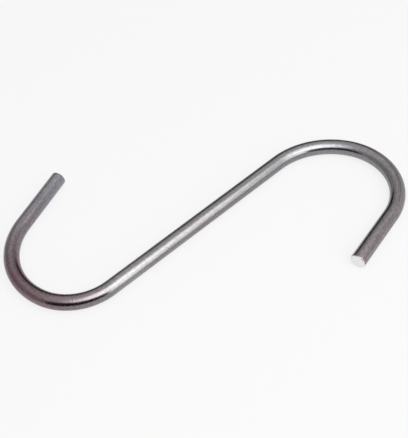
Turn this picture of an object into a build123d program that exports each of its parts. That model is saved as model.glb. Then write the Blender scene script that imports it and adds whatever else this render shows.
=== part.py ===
"""S hook bent from one round steel rod, lying flat on its side.

The rod runs straight along X in the middle and bends round at both ends, one
way at -X and the other way at +X, so that the outline is an S seen from above.
Each bend is two tangent arcs, a root arc that leaves the shank and a crown arc
that carries on to a short straight tip. Both tips are cut square, and the sharp
edge of each cut is rounded off.

Millimetres and degrees. +Z is up and the rod's underside is at Z = 0. The origin
is under the middle of the box round the whole hook.
"""

from build123d import *
import os

# ---- driving dimensions ---------------------------------------------------

rod_diameter = 6.0
shank_length = 85.0       # straight run between the two bends
edge_radius = 0.5         # rounding of the edge of each cut end

# Hook at the -X end, which curls towards +Y
left_root_radius = 21.5   # all bend radii are to the rod's centre line
left_root_turn = 71.0
left_crown_radius = 27.0
left_crown_turn = 87.0
left_tip_length = 26.5    # straight run from the bend to the cut end

# Hook at the +X end, which curls towards -Y
right_root_radius = 28.5
right_root_turn = 59.0
right_crown_radius = 24.0
right_crown_turn = 108.0
right_tip_length = 25.5

# ---- worked out from them --------------------------------------------------

rod_radius = rod_diameter / 2


def hook_path(start, heading, root_radius, root_turn, crown_radius, crown_turn, tip_length):
    """Centre line of one hook, from the end of the shank to the cut end.

    Both bends of the S turn clockwise when followed outwards from the shank, so
    the turns are negative. Each arc starts along the direction the last piece ends in.
    """
    root = JernArc(start, heading, root_radius, -root_turn)
    crown = JernArc(root @ 1, root % 1, crown_radius, -crown_turn)
    tip = Line(crown @ 1, crown @ 1 + (crown % 1) * tip_length)
    return [root, crown, tip]


def rod_centre_line():
    """The whole centre line in the plane Z = rod_radius, with the shank's middle at X = Y = 0."""
    left_end = Vector(-shank_length / 2, 0, rod_radius)
    right_end = Vector(shank_length / 2, 0, rod_radius)
    left_hook = hook_path(
        left_end, (-1, 0, 0),
        left_root_radius, left_root_turn, left_crown_radius, left_crown_turn, left_tip_length,
    )
    right_hook = hook_path(
        right_end, (1, 0, 0),
        right_root_radius, right_root_turn, right_crown_radius, right_crown_turn, right_tip_length,
    )
    shank = Line(left_end, right_end)
    return left_hook, shank, right_hook


def bent_rod():
    """A round section carried along the centre line, with both cut edges rounded."""
    left_hook, shank, right_hook = rod_centre_line()
    path = Wire([*left_hook, shank, *right_hook])
    left_tip = left_hook[-1]
    right_tip = right_hook[-1]
    cut_plane = Plane(origin=left_tip @ 1, z_dir=left_tip % 1)
    section = cut_plane * Circle(rod_radius)
    rod = sweep(section, path=path)
    cut_edges = [
        min(rod.edges().filter_by(GeomType.CIRCLE), key=lambda edge: (edge.arc_center - end).length)
        for end in (left_tip @ 1, right_tip @ 1)
    ]
    return fillet(cut_edges, edge_radius)


def centred(shape):
    """The shape moved along X and Y until its box is centred on the Z axis."""
    middle = shape.bounding_box().center()
    return Pos(-middle.X, -middle.Y, 0) * shape


os.makedirs("parts", exist_ok=True)

hook_rod = centred(bent_rod())
hook_rod.label = "hook_rod"
export_step(hook_rod, "parts/hook_rod.step")
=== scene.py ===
"""S hook of plated steel rod, lying on its side on a pale studio floor.

The rod is one surface, a round section carried along the hook's centre line, with
rounded edges at the two square cut ends. Everything is in metres.
"""

import math

import bpy
import numpy as np
from mathutils import Matrix, Vector


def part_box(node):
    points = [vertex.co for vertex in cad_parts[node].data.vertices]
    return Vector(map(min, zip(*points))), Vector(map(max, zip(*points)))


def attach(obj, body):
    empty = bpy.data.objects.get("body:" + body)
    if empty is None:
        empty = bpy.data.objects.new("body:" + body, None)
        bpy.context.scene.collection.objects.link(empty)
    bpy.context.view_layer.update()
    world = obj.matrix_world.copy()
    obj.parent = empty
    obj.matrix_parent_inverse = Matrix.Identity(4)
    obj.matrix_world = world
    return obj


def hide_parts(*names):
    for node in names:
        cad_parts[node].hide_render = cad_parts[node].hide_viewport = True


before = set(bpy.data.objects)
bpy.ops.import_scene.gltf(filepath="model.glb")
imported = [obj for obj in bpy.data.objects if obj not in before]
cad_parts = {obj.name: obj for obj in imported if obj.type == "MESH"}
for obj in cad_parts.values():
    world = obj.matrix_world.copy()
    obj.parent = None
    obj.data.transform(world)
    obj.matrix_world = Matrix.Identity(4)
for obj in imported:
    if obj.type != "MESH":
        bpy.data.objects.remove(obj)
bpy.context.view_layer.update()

# ---- the hook's centre line, in metres and degrees ----------------------------

shank_length = 0.085
left_root_radius, left_root_turn = 0.0215, 71.0
left_crown_radius, left_crown_turn = 0.027, 87.0
left_tip_length = 0.0265
right_root_radius, right_root_turn = 0.0285, 59.0
right_crown_radius, right_crown_turn = 0.024, 108.0
right_tip_length = 0.0255
edge_radius = 0.0005

rod_low, rod_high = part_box("hook_rod")
rod_radius = (rod_high.z - rod_low.z) / 2

# ---- how finely the surface is divided -----------------------------------------

ring_step = 0.0006        # along the rod
girth_points = 72
edge_rings = 6            # across the rounding of each cut edge
face_rings = 8            # from the middle of a cut face to its edge
plated_edge_rows = 2      # rows of an edge's rounding that keep the plating


def arc_run(radius, turn, side):
    """(length, curvature) of an arc; side is +1 for a left turn and -1 for a right turn."""
    return radius * math.radians(turn), side / radius


def centre_line_runs():
    """(length, curvature) of each run from the left tip's cut face to the right tip's."""
    return np.array([
        (left_tip_length, 0.0),
        arc_run(left_crown_radius, left_crown_turn, 1),
        arc_run(left_root_radius, left_root_turn, 1),
        (shank_length, 0.0),
        arc_run(right_root_radius, right_root_turn, -1),
        arc_run(right_crown_radius, right_crown_turn, -1),
        (right_tip_length, 0.0),
    ])


def carry(start, heading, along, curvature):
    """Place and heading after going `along` at a steady curvature.

    The chord of such a run has length along * sin(half turn) / (half turn), and
    points along the heading at the run's middle. A straight run is curvature 0.
    """
    half_turn = along * curvature / 2
    chord = along * np.sinc(half_turn / np.pi)
    middle = heading + half_turn
    step = np.stack([chord * np.cos(middle), chord * np.sin(middle)], axis=-1)
    return start + step, heading + 2 * half_turn


def centre_line(distance):
    """Place (x, y) and heading of the centre line at each distance from the left cut face."""
    runs = centre_line_runs()
    starts, headings = [np.zeros(2)], [-math.radians(left_root_turn + left_crown_turn)]
    for length, curvature in runs:
        place, heading = carry(starts[-1], headings[-1], length, curvature)
        starts.append(place)
        headings.append(heading)
    run_ends = np.cumsum(runs[:, 0])
    index = np.clip(np.searchsorted(run_ends, distance), 0, len(runs) - 1)
    along = distance - (run_ends - runs[:, 0])[index]
    return carry(np.array(starts)[index], np.array(headings)[index], along, runs[index, 1])


def section_stations():
    """Distance along the rod and radius of each ring, from one cut face to the other.

    A cut face's rings grow from near its middle to the edge, the rounding's rings
    follow a quarter circle of edge_radius, and the body's rings all have rod_radius.
    """
    length = centre_line_runs()[:, 0].sum()
    flat_radius = rod_radius - edge_radius
    face_radii = flat_radius * np.arange(1, face_rings) / face_rings
    quarter = np.linspace(0, np.pi / 2, edge_rings)
    edge_along = edge_radius * (1 - np.cos(quarter))
    edge_radii = flat_radius + edge_radius * np.sin(quarter)
    body_count = int(round((length - 2 * edge_radius) / ring_step))
    body = np.linspace(edge_radius, length - edge_radius, body_count + 1)[1:-1]
    end_along = np.concatenate([np.zeros(face_rings - 1), edge_along])
    end_radii = np.concatenate([face_radii, edge_radii])
    along = np.concatenate([end_along, body, length - end_along[::-1]])
    radii = np.concatenate([end_radii, np.full(len(body), rod_radius), end_radii[::-1]])
    return along, radii


def ring_faces(rings, points):
    """Quads between neighbouring rings, and triangles to a pole at each end."""
    ring, point = np.meshgrid(np.arange(rings - 1), np.arange(points), indexing="ij")
    following = (point + 1) % points
    quads = np.stack([
        ring * points + point,
        ring * points + following,
        (ring + 1) * points + following,
        (ring + 1) * points + point,
    ], axis=-1).reshape(-1, 4)
    first_pole = rings * points
    around = np.arange(points)
    after = (around + 1) % points
    last_ring = (rings - 1) * points
    first_cap = np.stack([np.full(points, first_pole), after, around], axis=-1)
    last_pole = np.full(points, first_pole + 1)
    last_cap = np.stack([last_ring + around, last_ring + after, last_pole], axis=-1)
    return quads, first_cap, last_cap


def rod_surface():
    """The whole rod as one closed surface of distance along the rod and angle round it.

    A point is the centre line's place, plus the ring's radius times cos(angle) to the
    left of the heading and sin(angle) upwards. The attribute "straight_rod" holds where
    that point would be on the unbent rod, so that a finish can follow the bends.
    """
    along, radii = section_stations()
    length = along[-1]
    angle = np.linspace(0, 2 * np.pi, girth_points, endpoint=False) - np.pi / 2
    place, heading = centre_line(along)
    sideways = radii[:, None] * np.cos(angle)
    upwards = radii[:, None] * np.sin(angle)
    x = place[:, 0, None] - sideways * np.sin(heading)[:, None]
    y = place[:, 1, None] + sideways * np.cos(heading)[:, None]
    z = rod_radius + upwards
    grid = np.stack([x, y, z], axis=-1).reshape(-1, 3)
    down_rod = np.repeat(along[:, None], girth_points, axis=1)
    straight = np.stack([down_rod, sideways, upwards], axis=-1).reshape(-1, 3)

    poles, _ = centre_line(np.array([0.0, length]))
    poles = np.column_stack([poles, [rod_radius, rod_radius]])
    vertices = np.concatenate([grid, poles])
    straight = np.concatenate([straight, [[0, 0, 0], [length, 0, 0]]])

    middle = (rod_low + rod_high) / 2
    extent_middle = (vertices.min(0) + vertices.max(0)) / 2
    vertices[:, :2] += np.array(middle)[:2] - extent_middle[:2]
    vertices[:, 2] += rod_low.z

    quads, first_cap, last_cap = ring_faces(len(along), girth_points)
    mesh = bpy.data.meshes.new("hook_rod_surface")
    faces = quads.tolist() + first_cap.tolist() + last_cap.tolist()
    mesh.from_pydata(vertices.tolist(), [], faces)
    mesh.polygons.foreach_set("use_smooth", np.ones(len(mesh.polygons), bool))

    # Each cut face and most of its rounding take the second material
    end_rows = face_rings + edge_rings - 2
    face_quads = (end_rows - plated_edge_rows) * girth_points
    is_cut = np.zeros(len(mesh.polygons), np.int32)
    is_cut[:face_quads] = 1
    is_cut[len(quads) - face_quads:] = 1          # the caps at the poles come after the quads
    mesh.polygons.foreach_set("material_index", is_cut)
    attribute = mesh.attributes.new("straight_rod", "FLOAT_VECTOR", "POINT")
    attribute.data.foreach_set("vector", straight.astype(np.float32).ravel())
    mesh.update()
    piece = bpy.data.objects.new("hook_rod_surface", mesh)
    bpy.context.scene.collection.objects.link(piece)
    return piece


# ---- finishes --------------------------------------------------------------------

# Nearly all of a noise texture's values lie between these
noise_low, noise_high = 0.3, 0.7

# Depths of the marks in the metal, in metres
draw_line_depth = 0.000006
cross_mark_depth = 0.000070
grain_depth = 0.000004
blade_mark_depth = 0.000020

# The plating's roughness is the first of these, and rises by the second where its grain is coarsest
plating_roughness, grain_roughness = 0.15, 0.08
cut_roughness = 0.38

# By share of the rod's length from the left tip: the plating's tint, how coarse its grain is, and
# how deep the marks across the rod are, deepest where the tightest bend was pressed. The tint is
# partly the plating's own colour and partly painted shade: it is darker at the bends and darkest at
# the left bend
plating_tints_and_shade = [
    (0.00, (0.272, 0.268, 0.300)),
    (0.12, (0.222, 0.192, 0.205)),
    (0.20, (0.182, 0.120, 0.137)),
    (0.27, (0.212, 0.166, 0.176)),
    (0.35, (0.272, 0.266, 0.270)),
    (0.48, (0.250, 0.237, 0.242)),
    (0.60, (0.246, 0.242, 0.248)),
    (0.70, (0.250, 0.247, 0.262)),
    (0.84, (0.234, 0.219, 0.228)),
    (1.00, (0.260, 0.226, 0.238)),
]
grain_strengths = [(0.00, 0.9), (0.20, 1.0), (0.34, 0.7), (0.60, 0.6), (0.74, 0.8), (0.88, 1.0)]
cross_mark_strengths = [(0.21, 0.1), (0.25, 1.0), (0.30, 1.0), (0.34, 0.1)]


def new_material(name):
    """A material with its nodes, links and main shader."""
    material = bpy.data.materials.new(name)
    material.use_nodes = True
    nodes = material.node_tree.nodes
    return material, nodes, material.node_tree.links, nodes["Principled BSDF"]


def rod_noise(nodes, links, pattern_size, detail):
    """Noise on the unbent rod. pattern_size is its size along the rod and across it, in metres."""
    place = nodes.new("ShaderNodeAttribute")
    place.attribute_name = "straight_rod"
    scale = nodes.new("ShaderNodeMapping")
    along, across = pattern_size
    scale.inputs["Scale"].default_value = [1 / along, 1 / across, 1 / across]
    noise = nodes.new("ShaderNodeTexNoise")
    noise.inputs["Scale"].default_value = 1.0
    noise.inputs["Detail"].default_value = detail
    links.new(place.outputs["Vector"], scale.inputs["Vector"])
    links.new(scale.outputs["Vector"], noise.inputs["Vector"])
    return noise.outputs["Fac"]


def colour_ramp(nodes, links, factor, stops):
    """A ramp from factor through (position, colour) stops."""
    ramp = nodes.new("ShaderNodeValToRGB")
    while len(ramp.color_ramp.elements) < len(stops):
        ramp.color_ramp.elements.new(0.5)
    for element, (position, colour) in zip(ramp.color_ramp.elements, stops):
        element.position = position
        element.color = (*colour, 1.0)
    links.new(factor, ramp.inputs["Fac"])
    return ramp.outputs["Color"]


def grey_ramp(nodes, links, factor, stops):
    """A ramp from factor through (position, grey) stops."""
    return colour_ramp(nodes, links, factor, [(position, (grey,) * 3) for position, grey in stops])


def spread(nodes, links, factor, low, high):
    """Noise spread to the range low to high."""
    spreader = nodes.new("ShaderNodeMapRange")
    spreader.inputs["From Min"].default_value = noise_low
    spreader.inputs["From Max"].default_value = noise_high
    spreader.inputs["To Min"].default_value = low
    spreader.inputs["To Max"].default_value = high
    links.new(factor, spreader.inputs["Value"])
    return spreader.outputs["Result"]


def scale_and_add(nodes, links, factor, scale, offset):
    """factor * scale + offset, each a number or the output of a node."""
    total = nodes.new("ShaderNodeMath")
    total.operation = "MULTIPLY_ADD"
    for socket, value in zip(total.inputs, (factor, scale, offset)):
        if isinstance(value, float):
            socket.default_value = value
        else:
            links.new(value, socket)
    return total.outputs[0]


def multiply(nodes, links, colour, factor):
    """Colour times factor."""
    scaler = nodes.new("ShaderNodeVectorMath")
    scaler.operation = "SCALE"
    links.new(colour, scaler.inputs[0])
    links.new(factor, scaler.inputs["Scale"])
    return scaler.outputs["Vector"]


def add_bump(nodes, links, shader, layers):
    """Bumps one on another. layers holds (height, depth in metres)."""
    normal = None
    for height, depth in layers:
        bump = nodes.new("ShaderNodeBump")
        bump.inputs["Strength"].default_value = 1.0
        bump.inputs["Distance"].default_value = depth
        links.new(height, bump.inputs["Height"])
        if normal is not None:
            links.new(normal, bump.inputs["Normal"])
        normal = bump.outputs["Normal"]
    links.new(normal, shader.inputs["Normal"])


def share_of_length(nodes, links):
    """0 at the left cut face and 1 at the right one."""
    place = nodes.new("ShaderNodeAttribute")
    place.attribute_name = "straight_rod"
    parts = nodes.new("ShaderNodeSeparateXYZ")
    share = nodes.new("ShaderNodeMapRange")
    share.inputs["From Max"].default_value = centre_line_runs()[:, 0].sum()
    links.new(place.outputs["Vector"], parts.inputs["Vector"])
    links.new(parts.outputs["X"], share.inputs["Value"])
    return share.outputs["Result"]


def plated_steel():
    """Drawn rod under thin bright plating: grainy, with a tint that drifts along it, partly painted
    shade at the bends, and faint lines along it.
    """
    material, nodes, links, shader = new_material("plated_steel")
    shader.inputs["Metallic"].default_value = 1.0
    patches = rod_noise(nodes, links, pattern_size=(0.012, 0.003), detail=3.0)
    grain = rod_noise(nodes, links, pattern_size=(0.0011, 0.0007), detail=2.0)
    draw_lines = rod_noise(nodes, links, pattern_size=(0.040, 0.0005), detail=3.0)
    cross_marks = rod_noise(nodes, links, pattern_size=(0.0009, 0.005), detail=1.0)

    along = share_of_length(nodes, links)
    # The tint holds painted shade as well as the plating's colour: the base colour is darker at the
    # bends, darkest at the left bend
    tint = colour_ramp(nodes, links, along, plating_tints_and_shade)
    coarseness = grey_ramp(nodes, links, along, grain_strengths)
    pressed = grey_ramp(nodes, links, along, cross_mark_strengths)

    mottled = multiply(nodes, links, tint, spread(nodes, links, patches, 0.93, 1.07))
    lined = multiply(nodes, links, mottled, spread(nodes, links, draw_lines, 0.90, 1.09))
    speckle = scale_and_add(nodes, links, spread(nodes, links, grain, -0.22, 0.22), coarseness, 1.0)
    links.new(multiply(nodes, links, lined, speckle), shader.inputs["Base Color"])

    roughness = scale_and_add(nodes, links, coarseness, grain_roughness, plating_roughness)
    links.new(roughness, shader.inputs["Roughness"])
    marks = scale_and_add(nodes, links, cross_marks, pressed, 0.0)
    add_bump(nodes, links, shader, [
        (draw_lines, draw_line_depth), (marks, cross_mark_depth), (grain, grain_depth),
    ])
    return material


def cut_steel():
    """Freshly sheared steel: pale and satin, with fine marks left by the blade."""
    material, nodes, links, shader = new_material("cut_steel")
    shader.inputs["Metallic"].default_value = 1.0
    blade_marks = rod_noise(nodes, links, pattern_size=(0.01, 0.0006), detail=3.0)
    tint = colour_ramp(nodes, links, blade_marks, [
        (0.35, (0.76, 0.77, 0.76)),
        (0.65, (0.90, 0.91, 0.90)),
    ])
    links.new(tint, shader.inputs["Base Color"])
    shader.inputs["Roughness"].default_value = cut_roughness
    add_bump(nodes, links, shader, [(blade_marks, blade_mark_depth)])
    return material


# ---- studio ------------------------------------------------------------------------

def aim(thing, place, target, roll=0.0):
    """Puts a lamp, card or camera at place with its -Z axis towards target."""
    direction = Vector(target) - Vector(place)
    turn = direction.to_track_quat("-Z", "Y").to_matrix().to_4x4()
    thing.matrix_world = Matrix.Translation(Vector(place)) @ turn @ Matrix.Rotation(roll, 4, "Z")


def around(azimuth, elevation, distance):
    """A point at that distance from the origin; azimuth is from +X towards +Y, in degrees."""
    azimuth, elevation = math.radians(azimuth), math.radians(elevation)
    level = distance * math.cos(elevation)
    return level * math.cos(azimuth), level * math.sin(azimuth), distance * math.sin(elevation)


def flat_sheet(name, width, height, level=0.0):
    """A rectangle, width along X and height along Y, centred at that level above the origin."""
    corners = [(-1, -1), (1, -1), (1, 1), (-1, 1)]
    mesh = bpy.data.meshes.new(name)
    vertices = [(width / 2 * x, height / 2 * y, level) for x, y in corners]
    mesh.from_pydata(vertices, [], [(0, 1, 2, 3)])
    sheet = bpy.data.objects.new(name, mesh)
    bpy.context.scene.collection.objects.link(sheet)
    return sheet


def pale_floor():
    """A plain floor that shows white, and keeps a share of the shadow that falls on it."""
    shadow_share = 0.20
    just_under_rod = -0.00003
    floor = flat_sheet("floor", width=8.0, height=8.0, level=just_under_rod)
    material, nodes, links, shader = new_material("floor")
    shader.inputs["Base Color"].default_value = (0.50, 0.50, 0.50, 1)
    shader.inputs["Roughness"].default_value = 0.9
    shader.inputs["Specular IOR Level"].default_value = 0.0
    glow = nodes.new("ShaderNodeEmission")
    glow.inputs["Color"].default_value = (1, 1, 1, 1)
    glow.inputs["Strength"].default_value = 1.0
    rays = nodes.new("ShaderNodeLightPath")
    white_share = 0.0
    for ray in ["Is Camera Ray", "Is Glossy Ray", "Is Transmission Ray"]:
        white_share = scale_and_add(nodes, links, rays.outputs[ray], 1 - shadow_share, white_share)
    mix = nodes.new("ShaderNodeMixShader")
    links.new(white_share, mix.inputs["Fac"])
    links.new(shader.outputs["BSDF"], mix.inputs[1])
    links.new(glow.outputs["Emission"], mix.inputs[2])
    links.new(mix.outputs["Shader"], nodes["Material Output"].inputs["Surface"])
    floor.data.materials.append(material)


def dark_card(name, azimuth, elevation, distance, width, height):
    """A black card off to one side, which only the metal's reflections show."""
    card = flat_sheet(name, width, height)
    aim(card, around(azimuth, elevation, distance), (0, 0, 0))
    material, nodes, links, shader = new_material(name)
    shader.inputs["Base Color"].default_value = (0.02, 0.02, 0.02, 1)
    shader.inputs["Specular IOR Level"].default_value = 0.0
    card.data.materials.append(material)
    card.visible_camera = False
    card.visible_diffuse = False
    card.visible_shadow = False


def softbox(name, azimuth, elevation, distance, width, height, brightness):
    """An oval lamp aimed at the origin. Its power is brightness times pi times its area."""
    lamp = bpy.data.lights.new(name, "AREA")
    lamp.shape = "ELLIPSE"
    lamp.size = width
    lamp.size_y = height
    area = math.pi * width * height / 4
    lamp.energy = brightness * math.pi * area
    box = bpy.data.objects.new(name, lamp)
    bpy.context.scene.collection.objects.link(box)
    aim(box, around(azimuth, elevation, distance), (0, 0, 0))


def soft_room():
    """A grey room, paler at the floor and overhead. The ramp's position is the direction's height."""
    world = bpy.data.worlds.new("soft_room")
    bpy.context.scene.world = world
    world.use_nodes = True
    nodes, links = world.node_tree.nodes, world.node_tree.links
    direction = nodes.new("ShaderNodeTexCoord")
    parts = nodes.new("ShaderNodeSeparateXYZ")
    links.new(direction.outputs["Generated"], parts.inputs["Vector"])
    greys = colour_ramp(nodes, links, parts.outputs["Z"], [
        (0.00, (0.62, 0.62, 0.62)),
        (0.35, (0.56, 0.56, 0.56)),
        (0.62, (0.56, 0.56, 0.56)),
        (0.79, (1.00, 1.00, 1.00)),
    ])
    links.new(greys, nodes["Background"].inputs["Color"])


def studio_camera():
    """Looks down at the hook from the front left, turned a little about its own axis."""
    lens = bpy.data.cameras.new("camera")
    lens.sensor_width = 36.0
    lens.lens = 75.0
    camera = bpy.data.objects.new("camera", lens)
    bpy.context.scene.collection.objects.link(camera)
    target = Vector((0.0009, 0.0, 0.0005))
    place = target + Vector(around(azimuth=-126.9, elevation=48.9, distance=0.3484))
    aim(camera, place, target, roll=math.radians(-7.27))
    bpy.context.scene.camera = camera


# ---- the hook and its studio ----------------------------------------------------------

rod = rod_surface()
rod.data.materials.append(plated_steel())
rod.data.materials.append(cut_steel())
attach(rod, "root")
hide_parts("hook_rod")

pale_floor()

# The main lamp is four ovals, each larger and a little further off, so that its edge fades
for layer, scale in enumerate([0.52, 0.78, 1.04, 1.32]):
    softbox(f"softbox_{layer}", azimuth=-92, elevation=50, distance=0.60 + 0.01 * layer,
            width=0.86 * scale, height=0.94 * scale, brightness=0.74)
softbox("softbox_low", azimuth=-76, elevation=12, distance=0.61,
        width=0.60, height=0.24, brightness=1.0)
softbox("side_fill", azimuth=-18, elevation=14, distance=0.65,
        width=0.60, height=0.36, brightness=0.3)

# Black cards give the rod its dark bands: along its lower side, and along its far edge
dark_card("front_card", azimuth=-136, elevation=18, distance=0.22, width=0.42, height=0.17)
dark_card("side_card", azimuth=50, elevation=12, distance=0.70, width=0.74, height=0.34)
soft_room()
studio_camera()

bpy.context.scene.view_settings.view_transform = "Standard"
